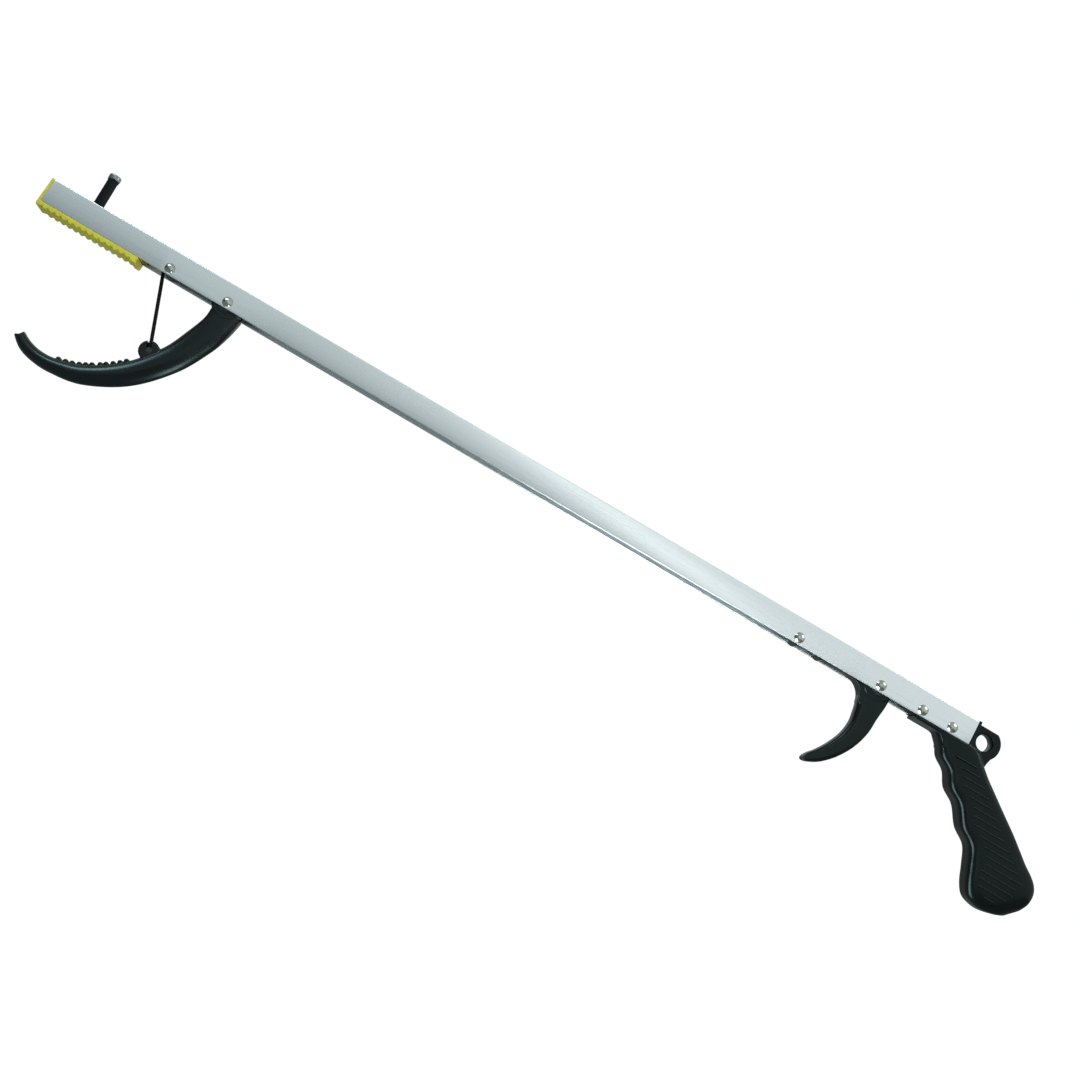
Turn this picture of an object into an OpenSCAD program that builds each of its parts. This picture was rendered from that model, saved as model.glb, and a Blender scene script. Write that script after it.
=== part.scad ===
/* [Channel] */
// Length of the aluminium channel
channel_len = 787.5; // [700:0.5:800]
// Height of the channel, top to open underside
channel_h = 19; // [18:0.5:20]
// Width of the channel across its side walls
channel_w = 17; // [17:0.5:18]
// Thickness of the channel's walls
channel_wall = 1.4; // [1.2:0.1:1.5]
// Gap from the channel's handle end to the middle of the hang hole
channel_back = 11.5; // [11.5:0.5:13]
// Height of the channel's top above the middle of the hang hole
channel_rise = 11.3; // [11:0.1:11.5]

/* [Rivets, measured from the channel's tip end] */
// Front cord guide
front_guide_at = 106.5; // [104:0.5:110]
// Jaw pivot
jaw_pivot_at = 155.5; // [153:0.5:158]
// Rear cord guide, measured back from the hang hole
rear_guide_back = 157.5; // [155:0.5:160]
// Trigger pivot, measured back from the hang hole
trigger_pivot_back = 88; // [86:0.5:90]
// Nearer grip rivet, measured back from the hang hole
grip_rivet_back = 27.5; // [26:0.5:29]
// Spacing of the two grip rivets
grip_rivet_pitch = 25; // [24:0.5:26]
// Height of every rivet above the channel's open underside
rivet_up = 4.8; // [4.7:0.1:5]
// Diameter of a rivet's shank
rivet_d = 4.1; // [4:0.02:4.12]
// Diameter of a rivet's domed head
rivet_head_d = 8; // [7:0.5:9]

/* [Cord] */
// Diameter of the braided cord
cord_d = 2.8; // [2.4:0.1:2.8]
// Diameter of the front guide roller
front_roller_d = 9.2; // [9:0.1:9.3]
// Diameter of the rear guide roller
rear_roller_d = 10.8; // [10:0.1:10.9]

/* [Pad, horn and magnet] */
// Length of the vinyl pad under the tip
pad_len = 83; // [80:1:88]
// Thickness of the pad's front end cap
pad_cap = 2.5; // [2:0.1:3]
// Depth of the pad's teeth below the channel
pad_depth = 4.2; // [3.8:0.1:4.4]
// Number of teeth across the pad
pad_teeth = 14; // [12:1:15]
// Distance of the horn from the channel's tip end
horn_at = 33.4; // [30:0.1:36]
// Diameter of the horn
horn_d = 8; // [7:0.5:9]
// Height of the horn without its magnet
horn_h = 23.8; // [20:0.2:28]
// Lean of the horn towards the tip, in degrees
horn_lean = 3.5; // [0:0.5:4]

/* [Jaw and trigger] */
// Thickness of the jaw and of the trigger
lever_w = 12.4; // [12:0.2:12.6]
// Radius of the hub inside the channel
hub_r = 11.5; // [11:0.1:11.6]
// Number of rounded teeth on the jaw
jaw_teeth = 11; // [8:1:11]
// Length of the trigger's cord arm
arm_len = 48.5; // [48:0.5:50]

/* [Grip] */
// Half thickness of the grip where the palm holds it
grip_half_w = 10.4; // [10:0.1:11]
// Number of ribs on each side of the grip
grip_ribs = 16; // [12:1:16]
// Diameter of the hang hole
hang_d = 12.7; // [12:0.1:13]

/* [Hidden] */
$fn = 48;
eps = 0.01;

// The origin is the middle of the hang hole: +X runs from the tip to the handle, +Z up.
ch_x1 = -channel_back;
ch_x0 = ch_x1 - channel_len;
ch_top = channel_rise;
ch_bot = ch_top - channel_h;
in_half = channel_w / 2 - channel_wall;
in_top = ch_top - channel_wall;
rivet_z = ch_bot + rivet_up;
front_guide = [ch_x0 + front_guide_at, rivet_z];
jaw_pivot = [ch_x0 + jaw_pivot_at, rivet_z];
rear_guide = [-rear_guide_back, rivet_z];
trigger_pivot = [-trigger_pivot_back, rivet_z];
grip_rivet_xs = [-grip_rivet_back, -grip_rivet_back - grip_rivet_pitch];
bore_gap = 0.03;

// Pivot bushes, their running clearance and the thrust washers beside each hub
bush_r = 4.3;
run_gap = 0.06;
hub_half = 6.5;
washer_r = 7;
washer_t = 0.4;

// Cord ends: a barrel in the jaw's lug and one in the eye of the trigger's arm
cord_gap = cord_d / 2 + 0.12;
front_lift = front_roller_d / 2 + cord_gap;
rear_lift = rear_roller_d / 2 + cord_gap;
barrel_r = 2.7;
barrel_half = 2.6;
lug = jaw_pivot + [-29.9, -59.6];
lug_r = 7.8;
lug_half = 3.6;
eye = trigger_pivot + [-arm_len, -1];
eye_r = 4.8;
slot_w = cord_d + 0.7;

// Return spring around the jaw's bush, in a pocket on the hub's far side
wire_d = 0.9;
coil_r = 5.5;
coil_y0 = 2.9;
coil_pitch = 1;
coil_a0 = 150;
coil_a1 = 1260;
pocket_r = 6.5;
pocket_y = 2.2;
leg_up = (in_top - rivet_z - wire_d / 2 - 0.05 - coil_r * sin(coil_a0)) / sin(60);
leg_down = 12;

// Jaw stations measured from its pivot: x, z, half depth
jaw_line = [[2.4, -5.6, 12], [1.3, -18.5, 11.3], [-3.3, -33.8, 11.6], [-13.9, -57.2, 10.6],
            [-33.9, -81.8, 9.3], [-60.1, -98.7, 7.5], [-82, -104.2, 5.8], [-95.8, -104.4, 5.1],
            [-106.7, -101.7, 4.8], [-114.9, -96.6, 3.8]];
jaw_notch = [-115.7, -94.9];
jaw_notch_r = 3.4;

// Trigger stations measured from its pivot: x, z, half depth
trigger_line = [[0.9, -2, 11.1], [0.8, -12.5, 10.8], [1.1, -22.5, 9.1], [1.1, -34, 7.9],
                [-2.1, -46.2, 6.9], [-8.4, -57.8, 6], [-15.3, -66.4, 4.9], [-20.8, -71.1, 3.8],
                [-24.1, -73.7, 2.5], [-25.4, -74.6, 1.1]];
arm_line = [[-4, -1.2, 4.3], [-20, -0.8, 3.7], [-arm_len + 3, -1, 3.5]];
// Hollow of the fillet between the trigger's arm and its finger lever
fillet_at = [-23, -19];
fillet_r = 14.3;

// Grip stations: distance down the grip, front and back depth, half thickness
grip_down = [0.7, -0.714];
grip_rear = [0.714, 0.7];
grip_line = [[-22, -33.6, -5.8, 8.6], [-8, -33.8, -5.8, 9], [1, -35.5, -5.8, 9.4], [12, -33.6, -5.7, 9.9],
             [24, -36.2, -5.4, grip_half_w], [37, -33.8, -3.7, grip_half_w],
             [53, -36.5, -1.4, grip_half_w], [67, -34.6, 0.7, grip_half_w],
             [80, -39.6, 2.1, grip_half_w], [91, -44.6, 3.2, grip_half_w], [100, -46.5, 4.8, 10.2],
             [107, -43.8, 4.8, 9.8], [113, -38.8, 2.4, 9], [118.2, -30.8, -3, 7],
             [121.2, -24, -10, 3.5]];
flange_x = -55.5;
flange_t = 3;
tongue_x = -57.5;
// Hollow of the fillet between the flange and the grip's front
neck_at = [-38.4, -21];
neck_r = 10.4;
lobe_r = 12.8;
lobe_half = 5.2;
lobe_top = 10.7;
end_plate_t = 2.6;
end_plate_proud = 0.9;
rib_z0 = -20.2;
rib_pitch = 5.27;
rib_h = 1.1;
rib_proud = 0.7;

// Catmull-Rom curve through the rows of a list, with n steps a row
function row(p, i) = p[max(0, min(len(p) - 1, i))];
function between(a, b, c, d, t) =
    0.5 * (2 * b + (c - a) * t + (2 * a - 5 * b + 4 * c - d) * t * t
           + (3 * b - a - 3 * c + d) * t * t * t);
function curve(p, n) =
    [for (i = [0 : len(p) - 2], j = [0 : n - 1])
        between(row(p, i - 1), row(p, i), row(p, i + 1), row(p, i + 2), j / n),
     row(p, len(p) - 1)];

// Unit vector across a line of stations, to its left seen from -Y
function across(p, i) =
    let (d = row(p, i + 1) - row(p, i - 1), m = norm([d[0], d[1]]))
    [-d[1] / m, d[0] / m];

// A ring around centre c: half depth h along n, half width w along Y; power 2 is an ellipse
function bent(v, power) = sign(v) * pow(abs(v), 2 / power);
function ring(c, n, h, w, power, sides) =
    [for (k = [0 : sides - 1])
        let (a = 360 * (k + 0.5) / sides, u = h * bent(cos(a), power))
        [c[0] + n[0] * u, w * bent(sin(a), power), c[1] + n[1] * u]];

// Solid skin over a list of rings
module skin(rings) {
    m = len(rings[0]);
    last = len(rings) - 1;
    sides = [for (i = [0 : last - 1], j = [0 : m - 1], t = [0, 1])
        let (a = i * m + j, b = i * m + (j + 1) % m)
        t == 0 ? [a, b, b + m] : [a, b + m, a + m]];
    ends = [[for (j = [m - 1 : -1 : 0]) j], [for (j = [0 : m - 1]) last * m + j]];
    polyhedron(points = [for (r = rings, p = r) p], faces = concat(sides, ends));
}

// Skin along a smoothed line of stations, with half width w
module limb(line, w, power, n, sides) {
    p = curve(line, n);
    skin([for (i = [0 : len(p) - 1])
        ring([p[i][0], p[i][1]], across(p, i), p[i][2], w, power, sides)]);
}

// Round cord along a route in the middle plane
module cord(route) {
    color("#16181a")
    skin([for (i = [0 : len(route) - 1])
        ring(route[i], across(route, i), cord_d / 2, cord_d / 2, 2, 8)]);
}

module at_pin(p) translate([p[0], 0, p[1]]) rotate([90, 0, 0]) children();

// Plain shaft along Y through p, from -half to +half
module shaft(p, r, half) {
    at_pin(p) cylinder(r = r, h = 2 * half, center = true);
}

// Sector of a disc about a pin, for y from y0 to y1, for angles seen from -Y
module sector(r0, r1, y0, y1, a0, a1) {
    translate([0, y1, 0]) rotate([90, 0, 0]) rotate([0, 0, a0])
    rotate_extrude(angle = a1 - a0) translate([r0, 0]) square([r1 - r0, y1 - y0]);
}

// Domed tubular rivet across the channel, head on the near side and rolled tail behind
module rivet(p) {
    head_h = 1.7;
    tail_r = 3.4;
    dome_r = (pow(rivet_head_d / 2, 2) + head_h * head_h) / (2 * head_h);
    half = channel_w / 2;
    color("#c9ccca") at_pin(p) {
        cylinder(d = rivet_d, h = 2 * half + 2 * eps, center = true);
        intersection() {
            translate([0, 0, half + head_h - dome_r]) sphere(r = dome_r);
            translate([0, 0, half]) cylinder(d = rivet_head_d, h = head_h + 1);
        }
        translate([0, 0, -half - 1]) difference() {
            cylinder(r = tail_r, h = 1);
            translate([0, 0, -eps]) cylinder(r = rivet_d / 4, h = 0.8);
        }
    }
}

module pivot_bush(p) {
    color("#8d9092") difference() {
        shaft(p, bush_r, in_half - 0.1);
        shaft(p, rivet_d / 2 + bore_gap, channel_w);
    }
}

module pivot_washers(p) {
    color("#222426") for (s = [-1, 1]) translate([0, s * (hub_half + 0.05 + washer_t / 2), 0])
    difference() {
        shaft(p, washer_r, washer_t / 2);
        shaft(p, bush_r + run_gap, 1);
    }
}

module guide_roller(p, d) {
    color("#1b1d1f") difference() {
        shaft(p, d / 2, in_half - 0.4);
        shaft(p, rivet_d / 2 + run_gap, channel_w);
    }
}

// Barrel fitting on the end of the cord, drilled for the cord
module cord_barrel(p, toward) {
    color("#333638") difference() {
        shaft(p, barrel_r, barrel_half);
        translate([p[0], 0, p[1]]) rotate([0, 90 - toward, 0]) cylinder(d = cord_d + 0.04, h = 9);
    }
}

// Angle and place where the cord leaves each guide for its straight run to a barrel
function heading(g, p) = atan2(p[1] - g[1], p[0] - g[0]);
function step_from(p, a, d) = p + d * [cos(a), sin(a)];
front_a = 360 + heading(front_guide, lug) - acos(front_lift / norm(lug - front_guide));
rear_a = heading(rear_guide, eye) + acos(rear_lift / norm(eye - rear_guide));
front_off = step_from(front_guide, front_a, front_lift);
rear_off = step_from(rear_guide, rear_a, rear_lift);
lug_toward = heading(lug, front_off);
eye_toward = heading(eye, rear_off);

module channel() {
    corner = 1.2;
    half = channel_w / 2;
    color("#c4cccb") difference() {
        translate([ch_x0, 0, 0]) rotate([90, 0, 90]) linear_extrude(channel_len) difference() {
            union() {
                translate([-half, ch_bot]) square([channel_w, channel_h - corner]);
                translate([corner - half, ch_bot]) square([channel_w - 2 * corner, channel_h]);
                for (s = [-1, 1]) translate([s * (half - corner), ch_top - corner]) circle(corner);
            }
            translate([-in_half, ch_bot - 1]) square([2 * in_half, in_top - ch_bot + 1]);
        }
        for (p = [front_guide, jaw_pivot, rear_guide, trigger_pivot])
            shaft(p, rivet_d / 2 + bore_gap, channel_w);
        for (x = grip_rivet_xs) shaft([x, rivet_z], rivet_d / 2 + bore_gap, channel_w);
        translate([ch_x0 + horn_at, 0, 0]) cylinder(d = 3.4, h = channel_h);
    }
}

module tip_pad() {
    tooth_h = 1.2;
    half = channel_w / 2;
    pitch = (pad_len - 8) / pad_teeth;
    low = ch_bot - pad_depth;
    teeth = [for (i = [0 : pad_teeth - 1], q = [[0.1, tooth_h], [0.3, 0], [0.65, 0], [0.85, tooth_h]])
        [ch_x0 + 3 + (i + q[0]) * pitch, low + q[1]]];
    color("#c6bb36") {
        translate([0, half, 0]) rotate([90, 0, 0]) linear_extrude(channel_w)
            polygon(concat([[ch_x0 - pad_cap, ch_top + 0.4], [ch_x0 - pad_cap, ch_bot - 3],
                            [ch_x0 - 1.6, low]], teeth,
                           [[ch_x0 + pad_len - 4.5, low - 0.9], [ch_x0 + pad_len, low - 0.9],
                            [ch_x0 + pad_len, ch_bot], [ch_x0, ch_bot], [ch_x0, ch_top + 0.4]]));
        // Plug in the end of the channel and the key that runs on inside it
        translate([ch_x0 - eps, 0.1 - in_half, ch_bot - eps])
            cube([12, 2 * in_half - 0.2, in_top - ch_bot - 0.1]);
        translate([ch_x0, 0.1 - in_half, ch_bot - eps]) cube([pad_len - 2, 2 * in_half - 0.2, 3]);
    }
}

// Frame on the horn's axis, with its foot on the channel's top
module on_horn() translate([ch_x0 + horn_at, 0, ch_top]) rotate([0, -horn_lean, 0]) children();

module horn() {
    color("#17191b") difference() {
        union() {
            on_horn() translate([0, 0, -2]) cylinder(d = horn_d, h = horn_h + 2);
            on_horn() translate([0, 0, horn_h - eps]) cylinder(d = 3, h = 0.6);
        }
        translate([ch_x0 + horn_at - 10, -10, ch_top - 10]) cube([20, 20, 10]);
        translate([ch_x0 + horn_at, 0, ch_top - 1]) cylinder(r = 1.45 + bore_gap, h = 11);
    }
}

module horn_screw() {
    color("#b4b7b8") translate([ch_x0 + horn_at, 0, 0]) {
        translate([0, 0, in_top - eps]) cylinder(r = 1.45, h = 10);
        difference() {
            translate([0, 0, in_top - 2]) cylinder(r = 3, h = 2);
            translate([-3.5, -0.4, in_top - 3]) cube([7, 0.8, 1.8]);
        }
    }
}

module magnet_cup() {
    color("#6d7375") on_horn() translate([0, 0, horn_h]) difference() {
        union() {
            cylinder(r = 4.6, h = 3);
            translate([0, 0, 3]) cylinder(r1 = 4.6, r2 = 4.1, h = 0.8);
        }
        translate([0, 0, 0.6 + eps]) cylinder(r = 3.65, h = 4);
        translate([0, 0, -eps]) cylinder(d = 3 + 2 * bore_gap, h = 1);
    }
}

module magnet_disc() {
    color("#8f9597") on_horn() translate([0, 0, horn_h + 0.65]) cylinder(r = 3.6, h = 2.8);
}

module front_guide_rivet() rivet(front_guide);
module rear_guide_rivet() rivet(rear_guide);
module jaw_pivot_rivet() rivet(jaw_pivot);
module trigger_pivot_rivet() rivet(trigger_pivot);
module grip_rivets() for (x = grip_rivet_xs) rivet([x, rivet_z]);

module front_guide_roller() guide_roller(front_guide, front_roller_d);
module rear_guide_roller() guide_roller(rear_guide, rear_roller_d);
module jaw_pivot_bush() pivot_bush(jaw_pivot);
module trigger_pivot_bush() pivot_bush(trigger_pivot);
module jaw_washers() pivot_washers(jaw_pivot);
module trigger_washers() pivot_washers(trigger_pivot);
module jaw_cord_barrel() cord_barrel(lug, lug_toward);
module trigger_cord_barrel() cord_barrel(eye, eye_toward);

// Hooked lower jaw: hub in the channel, hollow for the cord and the return spring
module jaw() {
    tooth_r = 1.9;
    tooth_pitch = 5.35;
    first_tooth = 84.5;
    line = curve(jaw_line, 30);
    // Distance along the hook of each point of the line
    reach = [for (i = 0, s = 0; i < len(line) - 1;
                  s = s + norm(row(line, i + 1) - row(line, i)), i = i + 1) s];
    color("#1a1f22") difference() {
        union() {
            translate([jaw_pivot[0], 0, jaw_pivot[1]]) limb(jaw_line, lever_w / 2, 2.7, 3, 20);
            shaft(jaw_pivot, hub_r, lever_w / 2 + 0.15);
            shaft(jaw_pivot, 8.3, hub_half);
            shaft(lug, lug_r, lug_half);
            // Rounded teeth along the inside of the hook
            for (i = [0 : jaw_teeth - 1])
                let (k = len([for (s = reach) if (s < first_tooth + i * tooth_pitch) s]))
                shaft(jaw_pivot + [line[k][0], line[k][1]]
                      - (line[k][2] - 0.7) * across(line, k), tooth_r, 4.4);
        }
        shaft(jaw_pivot, bush_r + run_gap, channel_w);
        shaft(jaw_pivot + jaw_notch, jaw_notch_r, channel_w);
        translate([jaw_pivot[0], 0, jaw_pivot[1]]) {
            // The cord runs over the bush through the middle of the hub
            sector(0, hub_r + 2, -slot_w / 2, slot_w / 2, 8, 205);
            // Spring pocket, the sweep of its fixed leg and the slot of its moving leg
            sector(0, pocket_r, pocket_y, channel_w, 0, 360);
            sector(pocket_r - 0.5, hub_r + 2, pocket_y + 0.2, channel_w, 76, 176);
            translate([-coil_r - 0.7, pocket_y + 0.2, -leg_down - 1])
                cube([1.4, channel_w, leg_down + 1]);
        }
        // Side-entry keyhole for the barrel on the cord's end
        translate([0, barrel_half + 0.1, 0]) at_pin(lug)
            cylinder(r = barrel_r + bore_gap, h = channel_w);
        translate([lug[0], 0, lug[1]]) rotate([0, 90 - lug_toward - 2.5, 0])
            translate([-slot_w / 2 - 0.1, -channel_w, 0])
            cube([slot_w + 0.2, channel_w + slot_w / 2, 12]);
    }
}

// Coil about the jaw's bush; one leg stays under the channel's top, the other is in the jaw
module jaw_return_spring() {
    steps = 60;
    turn = coil_a1 - coil_a0;
    spin = [for (i = [0 : steps]) let (a = coil_a0 + turn * i / steps)
        [a, coil_y0 + coil_pitch * (a - coil_a0) / 360, 0]];
    rows = concat([[coil_a0, coil_y0, leg_up]], spin, [[coil_a1, spin[steps][1], leg_down]]);
    color("#9aa0a3") translate([jaw_pivot[0], 0, jaw_pivot[1]])
    skin([for (i = [0 : len(rows) - 1]) let (r = rows[i], s = i == 0 ? 1 : -1)
        [for (k = [0 : 7]) let (b = 45 * k, d = coil_r + wire_d / 2 * cos(b))
            [d * cos(r[0]) + s * r[2] * sin(r[0]), r[1] + wire_d / 2 * sin(b),
             d * sin(r[0]) - s * r[2] * cos(r[0])]]]);
}

// Trigger: curved finger lever below the hub, and an arm to the cord inside the channel
module trigger() {
    color("#1a1f22") difference() {
        union() {
            translate([trigger_pivot[0], 0, trigger_pivot[1]]) {
                limb(trigger_line, lever_w / 2, 4, 3, 20);
                limb(arm_line, lever_w / 2, 4, 2, 20);
            }
            translate([0, lever_w / 2, 0]) at_pin(trigger_pivot)
            translate([0, 0, 0.7]) linear_extrude(lever_w - 1.4) difference() {
                translate(fillet_at) square([-fillet_at[0], -4 - fillet_at[1]]);
                translate(fillet_at) circle(fillet_r);
            }
            shaft(trigger_pivot, hub_r, lever_w / 2 + 0.15);
            shaft(trigger_pivot, 8.3, hub_half);
            shaft(eye, eye_r, lever_w / 2);
        }
        shaft(trigger_pivot, bush_r + run_gap, channel_w);
        // The eye is forked, so that the cord can swing in it as the trigger turns
        translate([eye[0] - 8, -slot_w / 2, eye[1] - 0.8]) cube([15, slot_w, 12]);
        translate([0, barrel_half + 0.1, 0]) at_pin(eye)
            cylinder(r = barrel_r + bore_gap, h = channel_w);
    }
}

module pull_cord_front() {
    cord([for (i = [0 : 6]) step_from(lug, lug_toward, 0.2) * (1 - i / 6) + front_off * i / 6]);
}

module pull_cord_run() {
    cord(concat([for (i = [0 : 8]) step_from(front_guide, front_a + (90 - front_a) * i / 8, front_lift)],
                [for (i = [0 : 3]) step_from(rear_guide, 90 + (rear_a - 90) * i / 3, rear_lift)]));
}

module pull_cord_rear() {
    cord([for (i = [0 : 4]) rear_off * (1 - i / 4) + step_from(eye, eye_toward, 0.2) * i / 4]);
}

// Ends of the grip's rib at height z: beside the finger grooves and the back, round at the heel
rib_heel = [50.5, -84.5];
rib_heel_r = 15.5;
function rib_ends(z) =
    z > rib_heel[1] + 4
        ? [-16.3 - 0.945 * (z + 20) + 1.8 * cos(360 * (z + 46.8) / 20.8), 1.2 - 1.143 * (z + 20)]
        : let (half = sqrt(pow(rib_heel_r, 2) - pow(z - rib_heel[1], 2)))
          [rib_heel[0] - half, rib_heel[0] + half];

// Pistol grip: palm part, flange and tongue on the channel, end plate and hanging lobe
module grip() {
    p = curve(grip_line, 3);
    plate_half = channel_w / 2;
    color("#17191b") difference() {
        union() {
            difference() {
                skin([for (s = p)
                    ring(grip_down * s[0] + grip_rear * (s[1] + s[2]) / 2, grip_rear,
                         (s[2] - s[1]) / 2, s[3], 4.5, 24)]);
                translate([-90, -20, ch_bot]) cube([200, 40, 60]);
            }
            for (i = [0 : grip_ribs - 1]) let (z = rib_z0 - i * rib_pitch, e = rib_ends(z))
                translate([e[0], -grip_half_w - rib_proud, z - rib_h / 2])
                cube([e[1] - e[0], 2 * (grip_half_w + rib_proud), rib_h]);
            translate([flange_x, -plate_half, ch_bot - flange_t]) cube([30, channel_w, flange_t]);
            translate([0, plate_half, 0]) rotate([90, 0, 0]) linear_extrude(channel_w) difference() {
                translate([neck_at[0], -19.6]) square([12, ch_bot + 19.6]);
                translate(neck_at) circle(neck_r);
            }
            translate([tongue_x, 0.1 - in_half, ch_bot - eps])
                cube([-tongue_x + ch_x1 + eps, 2 * in_half - 0.2, in_top - ch_bot - 0.1]);
            translate([ch_x1, -plate_half, ch_bot - 4])
                cube([end_plate_t, channel_w, channel_h + 4 + end_plate_proud]);
            translate([0, lobe_half, 0]) rotate([90, 0, 0]) linear_extrude(2 * lobe_half) {
                intersection() {
                    circle(lobe_r);
                    translate([-lobe_r, lobe_top - 30]) square([2 * lobe_r, 30]);
                }
                polygon([[ch_x1, -20], [7.6, -20], [7.8, -16], [8.4, -12.5], [9.6, -8.5], [0, 0],
                         [0, lobe_top], [ch_x1, lobe_top]]);
            }
        }
        shaft([0, 0], hang_d / 2, channel_w);
        for (x = grip_rivet_xs) shaft([x, rivet_z], rivet_d / 2 + bore_gap, channel_w);
    }
}

channel();
tip_pad();
horn();
horn_screw();
magnet_cup();
magnet_disc();
front_guide_rivet();
front_guide_roller();
rear_guide_rivet();
rear_guide_roller();
jaw();
jaw_pivot_rivet();
jaw_pivot_bush();
jaw_washers();
jaw_return_spring();
jaw_cord_barrel();
trigger();
trigger_pivot_rivet();
trigger_pivot_bush();
trigger_washers();
trigger_cord_barrel();
pull_cord_front();
pull_cord_run();
pull_cord_rear();
grip();
grip_rivets();
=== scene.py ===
"""Looks of the reacher grabber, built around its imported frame.
"""
import math

import bmesh
import bpy
import numpy as np
from mathutils import Matrix, Vector


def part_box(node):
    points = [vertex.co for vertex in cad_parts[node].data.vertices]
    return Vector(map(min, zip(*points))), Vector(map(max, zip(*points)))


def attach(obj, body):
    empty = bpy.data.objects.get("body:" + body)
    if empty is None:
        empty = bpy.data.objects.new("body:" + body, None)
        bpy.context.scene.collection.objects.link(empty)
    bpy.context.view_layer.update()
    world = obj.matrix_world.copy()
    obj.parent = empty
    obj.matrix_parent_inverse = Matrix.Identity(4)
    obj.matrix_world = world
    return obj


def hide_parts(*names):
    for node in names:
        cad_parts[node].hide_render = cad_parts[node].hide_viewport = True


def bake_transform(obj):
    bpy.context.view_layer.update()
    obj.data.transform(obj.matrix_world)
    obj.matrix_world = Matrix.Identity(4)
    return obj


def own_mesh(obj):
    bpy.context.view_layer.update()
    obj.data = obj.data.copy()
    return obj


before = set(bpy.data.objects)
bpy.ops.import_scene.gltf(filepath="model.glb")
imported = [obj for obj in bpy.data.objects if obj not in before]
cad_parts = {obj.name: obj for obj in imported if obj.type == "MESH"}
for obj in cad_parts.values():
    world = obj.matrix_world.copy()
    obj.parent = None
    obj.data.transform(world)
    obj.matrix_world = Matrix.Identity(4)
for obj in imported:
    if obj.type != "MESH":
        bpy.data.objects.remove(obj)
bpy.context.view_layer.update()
MM = 0.001

# Camera: turned about its own line of sight, so that the tool slopes down to the right
ROLL = math.radians(30.40)
PITCH = math.radians(10.77)
EYE = Vector((-0.35777, -0.92342, -0.21196))
LEVEL_RIGHT = Vector((1, 0, 0))
LEVEL_UP = Vector((0, -math.sin(PITCH), math.cos(PITCH)))
FORWARD = Vector((0, math.cos(PITCH), math.sin(PITCH)))
RIGHT = math.cos(ROLL) * LEVEL_RIGHT + math.sin(ROLL) * LEVEL_UP
UP = -math.sin(ROLL) * LEVEL_RIGHT + math.cos(ROLL) * LEVEL_UP

scene = bpy.context.scene
scene.view_settings.view_transform = "Standard"
scene.view_settings.look = "None"


def facing(right, up, back, place):
    m = Matrix((right, up, back)).transposed().to_4x4()
    m.translation = place
    return m


cam_data = bpy.data.cameras.new("camera")
cam_data.sensor_width = 36
cam_data.lens = 42.667
cam_data.clip_start = 0.01
camera = bpy.data.objects.new("camera", cam_data)
camera.matrix_world = facing(RIGHT, UP, -FORWARD, EYE)
scene.collection.objects.link(camera)
scene.camera = camera

# ---------------------------------------------------------------- materials


class Look:
    """A procedural material: a Principled shader with a few noise-driven inputs."""

    def __init__(self, name, **sockets):
        self.mat = bpy.data.materials.new(name)
        self.mat.use_nodes = True
        self.tree = self.mat.node_tree
        self.shader = self.tree.nodes["Principled BSDF"]
        for key, value in sockets.items():
            self.shader.inputs[key.replace("_", " ")].default_value = value
        self.coord = self.node("ShaderNodeTexCoord").outputs["Object"]

    def node(self, kind, **values):
        made = self.tree.nodes.new(kind)
        for key, value in values.items():
            if hasattr(made, key):
                setattr(made, key, value)
            else:
                made.inputs[key.replace("_", " ")].default_value = value
        return made

    def link(self, a, b):
        self.tree.links.new(a, b)

    def noise(self, scale, stretch=(1, 1, 1), detail=4.0, rough=0.55):
        place = self.node("ShaderNodeMapping", Scale=[scale * s for s in stretch])
        self.link(self.coord, place.inputs["Vector"])
        n = self.node("ShaderNodeTexNoise", Scale=1.0, Detail=detail, Roughness=rough)
        self.link(place.outputs["Vector"], n.inputs["Vector"])
        return n.outputs["Fac"]

    def ramp(self, fac, stops):
        r = self.node("ShaderNodeValToRGB")
        e = r.color_ramp.elements
        for i, (at, colour) in enumerate(stops):
            item = e[i] if i < 2 else e.new(at)
            item.position = at
            item.color = (*colour, 1)
        self.link(fac, r.inputs["Fac"])
        return r.outputs["Color"]

    def span(self, fac, low, high, f0=0.3, f1=0.7):
        r = self.node("ShaderNodeMapRange", clamp=True)
        for key, value in (("From Min", f0), ("From Max", f1), ("To Min", low), ("To Max", high)):
            r.inputs[key].default_value = value
        self.link(fac, r.inputs["Value"])
        return r.outputs["Result"]

    def math(self, op, a, b):
        m = self.node("ShaderNodeMath", operation=op)
        for i, v in enumerate((a, b)):
            if isinstance(v, (int, float)):
                m.inputs[i].default_value = v
            else:
                self.link(v, m.inputs[i])
        return m.outputs[0]

    def mix(self, fac, a, b):
        m = self.node("ShaderNodeMix", data_type="RGBA", blend_type="MIX")
        sockets = [s for s in m.inputs if s.enabled]
        for s, v in zip(sockets, (fac, a, b)):
            if isinstance(v, (int, float)):
                s.default_value = v
            elif isinstance(v, tuple):
                s.default_value = (*v, 1)
            else:
                self.link(v, s)
        return [s for s in m.outputs if s.enabled][0]

    def colour(self, out):
        self.link(out, self.shader.inputs["Base Color"])

    def rough(self, out):
        self.link(out, self.shader.inputs["Roughness"])

    def bump(self, out, height, strength=1.0, below=None):
        b = self.node("ShaderNodeBump", Strength=strength, Distance=height * MM)
        self.link(out, b.inputs["Height"])
        if below is not None:
            self.link(below, b.inputs["Normal"])
        self.link(b.outputs["Normal"], self.shader.inputs["Normal"])
        return b.outputs["Normal"]


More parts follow.
